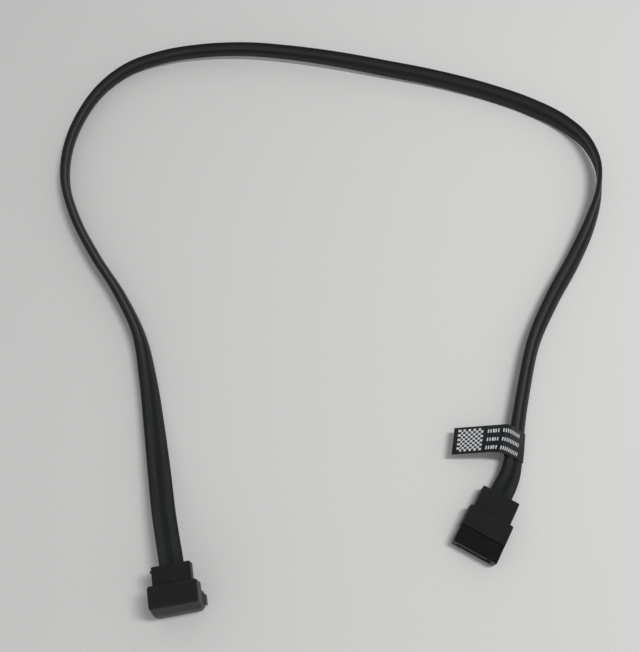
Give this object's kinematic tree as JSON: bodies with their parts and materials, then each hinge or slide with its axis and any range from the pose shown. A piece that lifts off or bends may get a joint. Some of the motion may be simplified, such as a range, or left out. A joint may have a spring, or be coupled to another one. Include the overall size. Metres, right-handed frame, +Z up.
{
  "type": "hard disk data cable",
  "caption": "Flat black serial data cable for a hard disk, lying in an open loop, with a straight plug, a right-angle plug and a folded film label.",
  "frame": {"origin": "the centre of the two plugs' footprint, on the plane that the cable lies on", "axes": "+X runs from the right-angle plug to the straight plug, +Y runs from the plugs into the loop, and +Z is up"},
  "size_m": [0.2021, 0.216, 0.015],
  "materials": {
    "ribbon_jacket": "satin extruded jacket",
    "label_film": "black printed polyester film",
    "grip_overmould": "fine-textured moulding",
    "insulator": "smooth moulding",
    "contact_metal": "gold-flashed bronze strip",
    "core_sleeve": "natural foamed sleeve",
    "drain_metal": "tinned copper"
  },
  "bodies": {
    "root": {"ribbon_cable": "ribbon_jacket", "cable_label": "label_film", "straight_plug_overmould": "grip_overmould", "straight_plug_housing": "insulator", "straight_plug_contact_1": "contact_metal", "straight_plug_contact_2": "contact_metal", "straight_plug_contact_3": "contact_metal", "straight_plug_contact_4": "contact_metal", "straight_plug_contact_5": "contact_metal", "straight_plug_contact_6": "contact_metal", "straight_plug_contact_7": "contact_metal", "straight_plug_core_wire_1": "core_sleeve", "straight_plug_core_wire_2": "core_sleeve", "straight_plug_core_wire_3": "core_sleeve", "straight_plug_core_wire_4": "core_sleeve", "straight_plug_drain_wire_1": "drain_metal", "straight_plug_drain_wire_2": "drain_metal", "straight_plug_drain_wire_3": "drain_metal", "angled_plug_overmould": "grip_overmould", "angled_plug_housing": "insulator", "angled_plug_contact_1": "contact_metal", "angled_plug_contact_2": "contact_metal", "angled_plug_contact_3": "contact_metal", "angled_plug_contact_4": "contact_metal", "angled_plug_contact_5": "contact_metal", "angled_plug_contact_6": "contact_metal", "angled_plug_contact_7": "contact_metal", "angled_plug_core_wire_1": "core_sleeve", "angled_plug_core_wire_2": "core_sleeve", "angled_plug_core_wire_3": "core_sleeve", "angled_plug_core_wire_4": "core_sleeve", "angled_plug_drain_wire_1": "drain_metal", "angled_plug_drain_wire_2": "drain_metal", "angled_plug_drain_wire_3": "drain_metal"}
  },
  "joints": []
}
